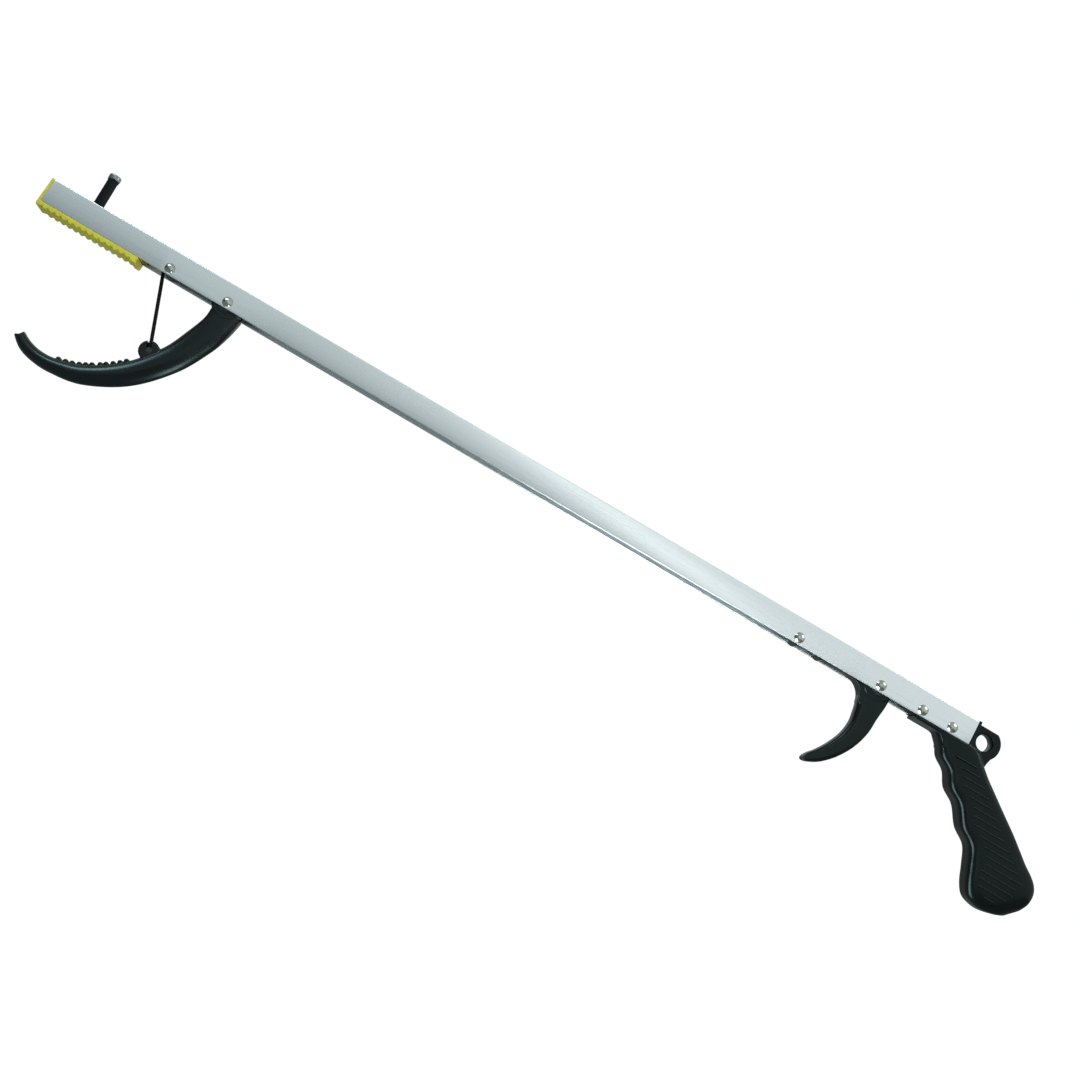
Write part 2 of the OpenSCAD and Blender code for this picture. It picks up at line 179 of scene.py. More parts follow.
def aluminium():
    look = Look("aluminium_channel", Metallic=1.0)
    drawn = look.noise(60, (0.03, 14, 14), 6, 0.6)
    patch = look.noise(9, (0.4, 1, 1), 3)
    grain = look.noise(2600, (0.35, 1, 1), 3, 0.7)
    scratch = look.noise(150, (0.06, 6, 6), 2, 0.4)
    base = look.ramp(patch, [(0.3, (0.69, 0.75, 0.76)), (0.7, (0.745, 0.80, 0.805))])
    base = look.mix(look.span(drawn, 0.0, 0.25), base, (0.82, 0.86, 0.865))
    base = look.mix(look.span(scratch, 0.0, 0.25, 0.66, 0.74), base, (0.42, 0.46, 0.47))
    look.colour(base)
    rough = look.math("ADD", look.span(drawn, 0.25, 0.28), look.span(grain, -0.01, 0.015))
    look.rough(look.math("ADD", rough, look.span(patch, -0.02, 0.02)))
    look.bump(grain, 0.0004, 0.3)
    return look.mat


def metal(name, dark, light, rough, tarnish=0.0):
    look = Look(name, Metallic=1.0)
    cloud = look.noise(260, detail=5)
    fine = look.noise(2700, detail=3, rough=0.7)
    base = look.ramp(cloud, [(0.3, dark), (0.72, light)])
    if tarnish:
        spots = look.span(look.noise(900, detail=3), 0.0, tarnish, 0.55, 0.72)
        base = look.mix(spots, base, tuple(0.35 * c for c in dark))
    look.colour(base)
    look.rough(look.math("ADD", look.span(cloud, rough - 0.05, rough + 0.07), look.span(fine, -0.03, 0.04)))
    look.bump(fine, 0.008, 0.5)
    return look.mat


def plastic(name, dark, light, rough, grain_height=0.02, level=0.45):
    look = Look(name, Specular_IOR_Level=level, Specular_Tint=(0.72, 0.96, 0.97, 1))
    cloud = look.noise(45, detail=4)
    grain = look.noise(2200, detail=3, rough=0.6)
    wear = look.noise(420, (0.5, 1, 1.4), 5, 0.7)
    look.colour(look.mix(look.span(wear, 0.0, 0.12, 0.56, 0.75),
                         look.ramp(cloud, [(0.32, dark), (0.7, light)]),
                         tuple(2.5 * c + 0.0012 for c in light)))
    look.rough(look.math("ADD", look.span(cloud, rough - 0.04, rough + 0.05),
                         look.span(wear, -0.01, 0.07, 0.45, 0.75)))
    first = look.bump(grain, grain_height, 0.6)
    look.bump(wear, grain_height * 1.5, 0.25, first)
    return look.mat


def vinyl():
    look = Look("yellow_vinyl", Specular_IOR_Level=0.42, Subsurface_Weight=0.12,
                Subsurface_Scale=0.002)
    look.shader.inputs["Subsurface Radius"].default_value = (1.0, 0.8, 0.15)
    cloud = look.noise(130, detail=5, rough=0.6)
    grime = look.noise(620, (0.8, 1, 1), 4, 0.7)
    grain = look.noise(1500, detail=3)
    base = look.ramp(cloud, [(0.28, (0.60, 0.54, 0.035)), (0.55, (0.70, 0.63, 0.05)),
                             (0.78, (0.76, 0.70, 0.075))])
    base = look.mix(look.span(grime, 0.0, 0.55, 0.56, 0.78), base, (0.20, 0.165, 0.02))
    look.colour(base)
    look.rough(look.span(grime, 0.36, 0.62))
    first = look.bump(grain, 0.03, 0.5)
    look.bump(cloud, 0.25, 0.35, first)
    return look.mat


def braid_look():
    look = Look("black_cord", Specular_IOR_Level=0.12, Sheen_Weight=0.03, Sheen_Roughness=0.5)
    look.shader.inputs["Sheen Tint"].default_value = (0.5, 0.55, 0.6, 1)
    fibre = look.noise(2600, (1, 0.6, 1), 4, 0.7)
    cloud = look.noise(500, detail=3)
    base = look.ramp(fibre, [(0.3, (0.002, 0.0024, 0.0026)), (0.72, (0.010, 0.011, 0.012))])
    look.colour(look.mix(look.span(cloud, 0.0, 0.25), base, (0.018, 0.019, 0.02)))
    look.rough(look.span(fibre, 0.72, 0.92))
    look.bump(fibre, 0.06, 0.8)
    return look.mat


BLACK_DARK = (0.0008, 0.0011, 0.0011)
BLACK_LIGHT = (0.0016, 0.0021, 0.0021)
LOOKS = {
    "aluminium_channel": aluminium(),
    "yellow_vinyl": vinyl(),
    "black_peg": plastic("black_peg", (0.002, 0.0025, 0.003), (0.005, 0.006, 0.0065), 0.36, 0.006, 0.16),
    "plated_screw": metal("plated_screw", (0.52, 0.53, 0.53), (0.70, 0.70, 0.68), 0.28),
    "cup_steel": metal("cup_steel", (0.16, 0.20, 0.205), (0.34, 0.40, 0.40), 0.24, tarnish=0.4),
    "magnet": metal("magnet", (0.30, 0.32, 0.33), (0.46, 0.48, 0.49), 0.38),
    "rivet_metal": metal("rivet_metal", (0.32, 0.34, 0.30), (0.46, 0.48, 0.43), 0.17, tarnish=0.3),
    "roller_plastic": plastic("roller_plastic", (0.010, 0.011, 0.012), (0.02, 0.021, 0.022), 0.5),
    "black_jaw": plastic("black_jaw", BLACK_DARK, BLACK_LIGHT, 0.26, 0.002, 0.40),
    "black_trigger": plastic("black_trigger", BLACK_DARK, BLACK_LIGHT, 0.28, 0.002, 0.27),
    "black_grip": plastic("black_grip", BLACK_DARK, BLACK_LIGHT, 0.25, 0.002, 0.23),
    "bush_metal": metal("bush_metal", (0.36, 0.34, 0.30), (0.50, 0.48, 0.43), 0.34),
    "washer_nylon": plastic("washer_nylon", (0.006, 0.009, 0.011), (0.014, 0.018, 0.021), 0.42,
                            0.01, 0.35),
    "spring_wire": metal("spring_wire", (0.36, 0.37, 0.37), (0.56, 0.57, 0.57), 0.27),
    "barrel_metal": metal("barrel_metal", (0.030, 0.034, 0.036), (0.075, 0.08, 0.083), 0.33),
    "black_cord": braid_look(),
}
NODE_LOOK = {
    "horn_screw": "plated_screw", "magnet_disc": "magnet", "front_guide_roller": "roller_plastic",
    "rear_guide_roller": "roller_plastic", "jaw_pivot_bush": "bush_metal",
    "trigger_pivot_bush": "bush_metal", "jaw_washers": "washer_nylon",
    "trigger_washers": "washer_nylon", "jaw_cord_barrel": "barrel_metal",
    "trigger_cord_barrel": "barrel_metal",
}
for node_name, look_name in NODE_LOOK.items():
    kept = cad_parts[node_name]
    kept.data.materials.clear()
    kept.data.materials.append(LOOKS[look_name])

# ---------------------------------------------------------------- places, from the frame


def mid(node):
    lo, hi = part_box(node)
    return (lo + hi) / 2 / MM


CH_LO, CH_HI = [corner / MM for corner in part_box("channel")]
HALF_W = CH_HI.y
WALL = 1.4
IN_HALF = HALF_W - WALL
IN_TOP = CH_HI.z - WALL


def pin(node):
    """Pivot or guide in the XZ plane, from its round roller or bush."""
    m = mid(node)
    return np.array([m.x, m.z])


FRONT = pin("front_guide_roller")
REAR = pin("rear_guide_roller")
JAW = pin("jaw_pivot_bush")
TRIGGER = pin("trigger_pivot_bush")
LUG = pin("jaw_cord_barrel")
EYE_PIN = pin("trigger_cord_barrel")
GRIP_RIVETS = [np.array([x, JAW[1]]) for x in (-27.5, -52.5)]
RIVET_R = 2.05
BORE_R = RIVET_R + 0.03
HUB_R = 11.5
PIVOT_BORE = 4.36
LEVER_HALF = 6.2
THRUST_R = 8.3
THRUST_HALF = 6.5
BARREL_BORE = 2.73
BARREL_SEAT = 2.7
CUT = 9.0
CORD_R = 1.4
SLOT_W = 3.5
SQUEEZE = 45.0

# ---------------------------------------------------------------- mesh building


def row(p, i):
    return p[max(0, min(len(p) - 1, i))]


def curve(p, n):
    """Catmull-Rom curve through the rows of p, with n steps a row."""
    p = np.array(p, float)
    out = []
    for i in range(len(p) - 1):
        a, b, c, d = row(p, i - 1), row(p, i), row(p, i + 1), row(p, i + 2)
        for t in np.arange(n) / n:
            out.append(0.5 * (2 * b + (c - a) * t + (2 * a - 5 * b + 4 * c - d) * t * t
                              + (3 * b - a - 3 * c + d) * t ** 3))
    out.append(p[-1])
    return np.array(out)


def across(p, i):
    d = row(p, i + 1)[:2] - row(p, i - 1)[:2]
    d = d / np.linalg.norm(d)
    return np.array([-d[1], d[0]])


def bent(v, power):
    return np.sign(v) * np.abs(v) ** (2 / power)


def ring(c, n, h, w, power, sides, low_power=None):
    """Superellipse ring: h along n, w along Y, with low_power on its -n side."""
    a = 2 * np.pi * (np.arange(sides) + 0.5) / sides
    u, v = np.cos(a), np.sin(a)
    pw = np.where(u < 0, low_power or power, power)
    u, v = bent(u, pw), bent(v, pw)
    return np.stack([c[0] + n[0] * h * u, w * v, c[1] + n[1] * h * u], 1)


def loft(rings):
    m, last = len(rings[0]), len(rings) - 1
    verts = np.concatenate(rings)
    faces = [(i * m + j, i * m + (j + 1) % m, (i + 1) * m + (j + 1) % m, (i + 1) * m + j)
             for i in range(last) for j in range(m)]
    faces += [tuple(range(m - 1, -1, -1)), tuple(last * m + j for j in range(m))]
    return verts, faces


def prism(outline, y0, y1):
    """Outline of (x, z) points, drawn out along Y."""
    o = np.array(outline, float)
    return loft([np.stack([o[:, 0], np.full(len(o), y), o[:, 1]], 1) for y in (y0, y1)])


def circle(p, r, sides=72):
    a = 2 * np.pi * np.arange(sides) / sides
    return np.stack([p[0] + r * np.cos(a), p[1] + r * np.sin(a)], 1)


def sector(p, r0, r1, a0, a1, sides=40):
    a = np.radians(np.linspace(a0, a1, sides))
    outer = np.stack([p[0] + r1 * np.cos(a), p[1] + r1 * np.sin(a)], 1)
    if r0 <= 0:
        return np.concatenate([outer, [p]])
    return np.concatenate([outer, np.stack([p[0] + r0 * np.cos(a), p[1] + r0 * np.sin(a)], 1)[::-1]])


def pin_shape(p, profile, sides=72):
    """Turned solid about a Y axis through p, from (y, r) rows; the first and last radius is small."""
    return loft([np.stack([circle(p, max(r, 0.01), sides)[:, 0], np.full(sides, y),
                           circle(p, max(r, 0.01), sides)[:, 1]], 1) for y, r in profile])


def drum(p, r, half, edge=0.5, sides=96):
    """Disc with rounded rims."""
    steps = np.radians(np.linspace(0, 90, 5))
    rim = [(half - edge + edge * math.sin(t), r - edge + edge * math.cos(t)) for t in steps]
    return pin_shape(p, [(-y, q) for y, q in rim[::-1]] + rim, sides)


def block(lo, hi):
    (x0, y0, z0), (x1, y1, z1) = lo, hi
    return prism([(x0, z0), (x1, z0), (x1, z1), (x0, z1)], y0, y1)


def solid(name, parts):
    """One object of several closed shells, in metres."""
    verts, faces, n = [], [], 0
    for v, f in parts:
        verts.append(v)
        faces += [tuple(k + n for k in face) for face in f]
        n += len(v)
    mesh = bpy.data.meshes.new(name)
    mesh.from_pydata((np.concatenate(verts) * MM).tolist(), [], faces)
    bm = bmesh.new()
    bm.from_mesh(mesh)
    bmesh.ops.recalc_face_normals(bm, faces=bm.faces)
    bm.to_mesh(mesh)
    bm.free()
    ob = bpy.data.objects.new(name, mesh)
    scene.collection.objects.link(ob)
    return ob


def settle(ob):
    """Applies the object's modifiers."""
    graph = bpy.context.evaluated_depsgraph_get()
    mesh = bpy.data.meshes.new_from_object(ob.evaluated_get(graph))
    ob.modifiers.clear()
    ob.data = mesh
    return ob


def remesh(ob, voxel, smooth):
    r = ob.modifiers.new("remesh", "REMESH")
    r.mode = "VOXEL"
    r.voxel_size = voxel * MM
    r.adaptivity = 0
    s = ob.modifiers.new("smooth", "SMOOTH")
    s.factor, s.iterations = 0.5, smooth
    return settle(ob)


def combine(ob, parts, how="DIFFERENCE"):
    """Boolean of ob with one object made of parts, which is then removed."""
    tool = solid("tool", parts)
    b = ob.modifiers.new("cut", "BOOLEAN")
    b.operation, b.object, b.solver = how, tool, "MANIFOLD"
    settle(ob)
    bpy.data.objects.remove(tool)
    return ob


def bevel(ob, width, segments, angle):
    b = ob.modifiers.new("bevel", "BEVEL")
    b.width, b.segments = width * MM, segments
    b.limit_method, b.angle_limit = "ANGLE", math.radians(angle)
    return settle(ob)


def dress(ob, look, body=None, *nodes, sharp=40):
    """Material, shading, body and the nodes that it stands for."""
    ob.data.materials.clear()
    ob.data.materials.append(LOOKS[look])
    ob.data.shade_smooth()
    ob.data.set_sharp_from_angle(angle=math.radians(sharp))
    if nodes:
        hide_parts(*nodes)
    if body:
        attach(ob, body)
    return ob


def copy_of(node, name):
    ob = bpy.data.objects.new(name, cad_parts[node].data.copy())
    scene.collection.objects.link(ob)
    bm = bmesh.new()
    bm.from_mesh(ob.data)
    bmesh.ops.remove_doubles(bm, verts=bm.verts, dist=2e-6)
    bmesh.ops.recalc_face_normals(bm, faces=bm.faces)
    bm.to_mesh(ob.data)
    bm.free()
    return ob


# ---------------------------------------------------------------- channel


def make_channel():
    corner, lip, inner = 0.6, 0.3, 0.5
    lo, hi = CH_LO.z, CH_HI.z

    def arc(cy, cz, r, a0, a1, n=6):
        return [(cy + r * math.cos(t), cz + r * math.sin(t)) for t in np.radians(np.linspace(a0, a1, n))]

    side = (arc(IN_HALF + lip, lo + lip, lip, 180, 270, 4) + arc(HALF_W - lip, lo + lip, lip, 270, 360, 4)
            + arc(HALF_W - corner, hi - corner, corner, 0, 90, 9))
    under = arc(IN_HALF - inner, IN_TOP - inner, inner, 90, 0, 5)
    loop = side + [(-y, z) for y, z in side[::-1]] + [(-y, z) for y, z in under[::-1]] + under
    x_steps = np.linspace(CH_LO.x, CH_HI.x, 9)
    ob = solid("channel_body", [loft([np.array([(x, y, z) for y, z in loop]) for x in x_steps])])
    pins = [FRONT, REAR, JAW, TRIGGER] + GRIP_RIVETS
    holes = [prism(circle(p, BORE_R, 48), -12, 12) for p in pins]
    foot = mid("horn_screw")
    screw_r = 1.7
    tall = loft([np.array([(foot.x + screw_r * math.cos(t), screw_r * math.sin(t), z)
                           for t in np.linspace(0, 2 * np.pi, 32, endpoint=False)]) for z in (0, 20)])
    combine(ob, holes + [tall])
    bevel(ob, 0.12, 1, 50)
    return dress(ob, "aluminium_channel", "frame", "channel", sharp=30)


# ---------------------------------------------------------------- pad, horn, cup


def make_pad():
    ob = copy_of("tip_pad", "pad_body")
    remesh(ob, 0.36, 9)
    return dress(ob, "yellow_vinyl", "frame", "tip_pad", sharp=80)


def make_horn():
    lean = math.radians(-3.5)
    foot = mid("horn_screw")
    axis = Matrix.Translation((foot.x, 0, CH_HI.z)) @ Matrix.Rotation(lean, 4, "Y")

    def turned(profile, sides=64):
        rings = []
        for z, r in profile:
            a = 2 * np.pi * np.arange(sides) / sides
            rings.append(np.array([axis @ Vector((r * math.cos(t), r * math.sin(t), z)) for t in a]))
        return loft(rings)

    peg = solid("horn_peg", [turned([(-0.2, 0.01), (-0.2, 4.0), (0.5, 4.0), (21.8, 3.95), (22.4, 4.0),
                                     (22.6, 4.25), (23.3, 4.3), (23.75, 4.1), (23.8, 1.5), (24.3, 1.45),
                                     (24.3, 0.01)])])
    combine(peg, [block((foot.x - 10, -10, CH_HI.z - 5), (foot.x + 10, 10, CH_HI.z + 0.02))])
    dress(peg, "black_peg", "frame", "horn", sharp=35)
    # The cup's profile is given from the top of the peg
    h = 23.8
    wall = [(0.02, 0.01), (0.02, 4.2), (0.12, 4.42), (0.35, 4.55), (0.7, 4.6), (2.7, 4.6), (3.2, 4.55),
            (3.6, 4.35), (3.8, 4.05), (3.72, 3.82), (3.5, 3.68), (0.6, 3.65), (0.6, 0.01)]
    cup = solid("magnet_cup_shell", [turned([(h + z, r) for z, r in wall], 80)])
    dress(cup, "cup_steel", "frame", "magnet_cup", sharp=40)


# ---------------------------------------------------------------- rivets


def rivet_shape(p):
    head_r, head_h, y = 4.0, 1.7, HALF_W
    dome_r = (head_r ** 2 + head_h ** 2) / (2 * head_h)
    dome = []
    for t in np.linspace(0, 1, 12):
        r = 3.78 * (1 - t)
        dome.append((-(y + head_h - dome_r + math.sqrt(dome_r ** 2 - r ** 2)), r))
    near = [(-y + 0.02, RIVET_R), (-y + 0.01, 3.7), (-y - 0.12, 3.95), (-y - 0.28, 3.98)] + dome
    far = [(y - 0.02, RIVET_R), (y - 0.01, 3.2), (y + 0.25, 3.42), (y + 0.6, 3.3), (y + 0.95, 2.6),
           (y + 1.0, 1.9), (y + 0.8, 1.25), (y + 0.3, 1.0), (y + 0.2, 0.0)]
    return pin_shape(p, near[::-1] + far, 64)


def make_rivets():
    for name, p in (("front_guide_rivet", FRONT), ("rear_guide_rivet", REAR),
                    ("jaw_pivot_rivet", JAW), ("trigger_pivot_rivet", TRIGGER)):
        dress(solid(name + "_turned", [rivet_shape(p)]), "rivet_metal", "frame", name, sharp=50)
    pair = [rivet_shape(p) for p in GRIP_RIVETS]
    dress(solid("grip_rivets_turned", pair), "rivet_metal", "frame", "grip_rivets", sharp=50)


# ---------------------------------------------------------------- jaw


# x, z, half depth, section power: square at the hub, with a soft keel along the hook's sides
JAW_LINE = [[2.4, -5.6, 12, 4.0], [1.3, -18.5, 11.3, 3.0], [-3.3, -33.8, 11.6, 2.0],
            [-13.9, -57.2, 10.6, 1.8], [-33.9, -81.8, 9.3, 1.75], [-60.1, -98.7, 7.5, 1.75],
            [-82, -104.2, 5.8, 1.8], [-95.8, -104.4, 5.1, 1.9], [-106.7, -101.7, 4.8, 2.2],
            [-114.9, -96.6, 3.8, 2.6]]
TEETH = 11
TOOTH_START = 84.5
TOOTH_STEP = 5.35


def limb(line, base, w, power, n, sides):
    """Bent bar along line; power is the section's, where line has no fourth column of its own."""
    p = curve(line, n)
    return loft([ring(base + s[:2], across(p, i), s[2], w, s[3] if len(s) > 3 else power, sides)
                 for i, s in enumerate(p)])


def toward(a, b):
    return math.degrees(math.atan2(b[1] - a[1], b[0] - a[0]))


def tangent(guide, lift, p, side):
    """Angle on the guide where the cord leaves it for p."""
    return toward(guide, p) + side * math.degrees(math.acos(lift / np.linalg.norm(p - guide)))


def spot(c, r, a):
    return np.array(c) + r * np.array([math.cos(math.radians(a)), math.sin(math.radians(a))])


FRONT_LIFT = 4.6 + CORD_R + 0.12
REAR_LIFT = 5.4 + CORD_R + 0.12
FRONT_OFF = spot(FRONT, FRONT_LIFT, tangent(FRONT, FRONT_LIFT, LUG, -1))


def turned_box(p, angle, x0, x1, half, y0, y1):
    """Slot from p along angle, in the XZ plane."""
    d = spot((0, 0), 1, angle)
    n = np.array([-d[1], d[0]])
    return prism([p + d * x0 - n * half, p + d * x1 - n * half, p + d * x1 + n * half,
                  p + d * x0 + n * half], y0, y1)


def make_jaw():
    line = curve(JAW_LINE, 30)
    reach = np.concatenate([[0], np.cumsum(np.linalg.norm(np.diff(line[:, :2], axis=0), axis=1))])
    parts = [limb(JAW_LINE, JAW, LEVER_HALF, 2, 12, 96),
             drum(JAW, HUB_R, LEVER_HALF + 0.15, 0.4), drum(JAW, THRUST_R, THRUST_HALF, 0.25),
             drum(LUG, 7.8, 3.6, 0.9)]
    for i in range(TEETH):
        k = int(np.searchsorted(reach, TOOTH_START + i * TOOTH_STEP))
        at = JAW + line[k][:2] - (line[k][2] - 0.4) * across(line, k)
        parts.append(drum(at, 2.0, 3.2, 0.9, 32))
    ob = solid("jaw_hook", parts)
    remesh(ob, 0.36, 5)
    # Moulded ring around the hub
    ridge = ((6.0, 11.2), (6.42, 11.35), (6.5, 11.6), (6.42, 11.85), (6.0, 12.0))
    m, n = 120, len(ridge)
    for s in (-1, 1):
        rings = [np.stack([circle(JAW, r, m)[:, 0], np.full(m, s * y), circle(JAW, r, m)[:, 1]], 1)
                 for y, r in ridge]
        faces = [(i * m + j, i * m + (j + 1) % m, (i + 1) % n * m + (j + 1) % m, (i + 1) % n * m + j)
                 for i in range(n) for j in range(m)]
        combine(ob, [(np.concatenate(rings), faces)], "UNION")
    tip = JAW + np.array([-115.7, -94.9])
    combine(ob, [prism(circle(tip, 3.4, 48), -CUT, CUT)])
    combine(ob, [prism(circle(JAW, PIVOT_BORE, 96), -CUT, CUT)])
    # Slot that the cord passes through, then the spring's pocket, window and leg seat
    combine(ob, [prism(sector(JAW, 0, HUB_R + 2, 8, 205, 60), -SLOT_W / 2, SLOT_W / 2)])
    combine(ob, [prism(circle(JAW, 6.5, 96), 2.2, CUT)])
    combine(ob, [prism(sector(JAW, 6.0, HUB_R + 2, 76, 176), 2.4, CUT)])
    combine(ob, [block((JAW[0] - 6.2, 2.4, JAW[1] - 13), (JAW[0] - 4.8, CUT, JAW[1]))])
    # Seat of the cord's barrel, and the slot that the cord leaves by
    combine(ob, [prism(circle(LUG, BARREL_BORE, 48), -CUT, BARREL_SEAT)])
    combine(ob, [turned_box(LUG, toward(LUG, FRONT_OFF) + 2.5, 0, 12, SLOT_W / 2 + 0.1, -CUT,
                            SLOT_W / 2)])
    return dress(ob, "black_jaw", "jaw", "jaw", sharp=50)


def make_spring():
    """Torsion spring in the jaw's pocket: a leg up to the channel's top, the coil, a leg in the jaw."""
    steps, sides, r, wire = 260, 10, 5.5, 0.45
    first, last, y0 = 150, 1260, 2.9
    turns = np.linspace(first, last, steps)
    y = y0 + (turns - first) / 360
    centres, frames = [], []
    leg_up = IN_TOP - JAW[1] - wire - 0.05 - r * math.sin(math.radians(first))
    leg_up /= math.sin(math.radians(60))

    def put(angle, yy, along):
        t = math.radians(angle)
        out = np.array([math.cos(t), 0, math.sin(t)])
        tan = np.array([math.sin(t), 0, -math.cos(t)])
        centres.append(np.array([JAW[0], yy, JAW[1]]) + r * out + along * tan)
        frames.append(out)

    for d in np.linspace(leg_up, 0.6, 9):
        put(first, y0, d)
    for angle, yy in zip(turns, y):
        put(angle, yy, 0)
    for d in np.linspace(0.6, 12, 12):
        put(last, y[-1], -d)
    b = 2 * np.pi * np.arange(sides) / sides
    width = np.array([0, 1, 0])
    rings = [np.array([c + wire * (out * math.cos(t) + width * math.sin(t)) for t in b])
             for c, out in zip(centres, frames)]
    ob = dress(solid("jaw_return_spring_wire", [loft(rings)]), "spring_wire", None,
               "jaw_return_spring", sharp=60)
    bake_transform(ob)


# ---------------------------------------------------------------- trigger


TRIGGER_LINE = [[0.9, -2, 11.1], [0.8, -12.5, 10.8], [1.1, -22.5, 9.1], [1.1, -34, 7.9],
                [-2.1, -46.2, 6.9], [-8.4, -57.8, 6], [-15.3, -66.4, 4.9], [-20.8, -71.1, 3.8],
                [-24.1, -73.7, 2.5], [-25.4, -74.6, 1.1]]
ARM_LINE = [[-4, -1.2, 4.3], [-20, -0.8, 3.7], [-45.5, -1, 3.5]]


def make_trigger():
    # Web with a round throat between the finger lever and the arm
    throat = TRIGGER + np.array([-23, -19])
    corner = [p for p in circle(throat, 14.3, 120) if p[0] > throat[0] and p[1] > throat[1]]
    corner.sort(key=lambda p: math.atan2(p[1] - throat[1], p[0] - throat[0]))
    web = corner + [TRIGGER + np.array(p) for p in ((-23, -3), (0, -3), (0, -19))]
    parts = [limb(TRIGGER_LINE, TRIGGER, LEVER_HALF, 4, 12, 64),
             limb(ARM_LINE, TRIGGER, LEVER_HALF, 4, 10, 48),
             prism(web, -LEVER_HALF + 0.5, LEVER_HALF - 0.5),
             drum(TRIGGER, HUB_R, LEVER_HALF + 0.15, 0.4), drum(TRIGGER, THRUST_R, THRUST_HALF, 0.25),
             drum(EYE_PIN, 4.8, LEVER_HALF, 0.6)]
    ob = solid("trigger_lever", parts)
    remesh(ob, 0.36, 10)
    combine(ob, [prism(circle(TRIGGER, PIVOT_BORE, 96), -CUT, CUT)])
    combine(ob, [block((EYE_PIN[0] - 8, -SLOT_W / 2, EYE_PIN[1]),
                       (EYE_PIN[0] + 7, SLOT_W / 2, EYE_PIN[1] + 12))])
    combine(ob, [prism(circle(EYE_PIN, BARREL_BORE, 48), -CUT, BARREL_SEAT)])
    return dress(ob, "black_trigger", "trigger", "trigger", sharp=50)


# ---------------------------------------------------------------- grip


# Distance down the grip, front edge, back edge, half width
GRIP_LINE = [[-22, -33.6, -5.8, 8.6], [-8, -33.8, -5.8, 9], [1, -35.5, -5.8, 9.4],
             [12, -33.6, -5.7, 9.9], [24, -36.2, -5.4, 10.4], [37, -33.8, -3.7, 10.4],
             [53, -36.5, -1.4, 10.4], [67, -34.6, 0.7, 10.4], [80, -39.6, 2.1, 10.4],
             [91, -44.6, 3.2, 10.4], [100, -46.5, 4.8, 10.2], [107, -43.8, 4.8, 9.8],
             [113, -38.8, 2.4, 9], [118.2, -30.8, -3, 7], [121.2, -24, -10, 3.5]]
DOWN = np.array([0.7, -0.714])
BACK = np.array([0.714, 0.7])
RIBS = 16
RIB_STEP = 5.27
RIB_HALF_H = 0.55
GRIP_HALF = 10.4
HANG_R = 6.35
LOBE_HALF = 5.2
HEEL = (50.5, -84.5)
HEEL_R = 15.5
FINGER_STEP = 20.8


def rib_ends(z):
    """Front end, which follows the finger grooves, and back end; round the heel below them."""
    if z > -80.5:
        wave = 1.8 * math.cos(math.radians(360 * (z + 46.8) / FINGER_STEP))
        return -16.3 - 0.945 * (z + 20) + wave, 1.2 - 1.143 * (z + 20)
    half = math.sqrt(HEEL_R ** 2 - (z - HEEL[1]) ** 2)
    return HEEL[0] - half, HEEL[0] + half


def rib_bar(x0, x1, z, side, face):
    """Raised bar with a round top and round ends."""
    rings = []
    length = x1 - x0
    stops = np.concatenate([[0.02, 0.1, 0.25, 0.45, 0.7, 1.0], np.linspace(1.4, length - 1.4, 5),
                            length - np.array([1.0, 0.7, 0.45, 0.25, 0.1, 0.02])])
    for s in stops:
        edge = min(s, length - s)
        size = math.sqrt(max(0.0, 1 - max(0.0, 1 - edge / 1.0) ** 2))
        a = 2 * np.pi * np.arange(16) / 16
        u, v = bent(np.cos(a), 2.6), bent(np.sin(a), 2.6)
        rings.append(np.stack([np.full(16, x0 + s), side * (face - 0.5 + 1.15 * size * v),
                               z + RIB_HALF_H * size * u], 1))
    return loft(rings)


def pip(x, z, side, face):
    """Small dome behind a rib's back end."""
    rings = []
    for t in np.radians(np.linspace(-88, 88, 9)):
        a = 2 * np.pi * np.arange(16) / 16
        r = 0.75 * math.cos(t)
        rings.append(np.stack([x + r * np.cos(a), np.full(16, side * (face - 0.1 + 0.5 * math.sin(t))),
                               z + r * np.sin(a)], 1))
    return loft(rings)


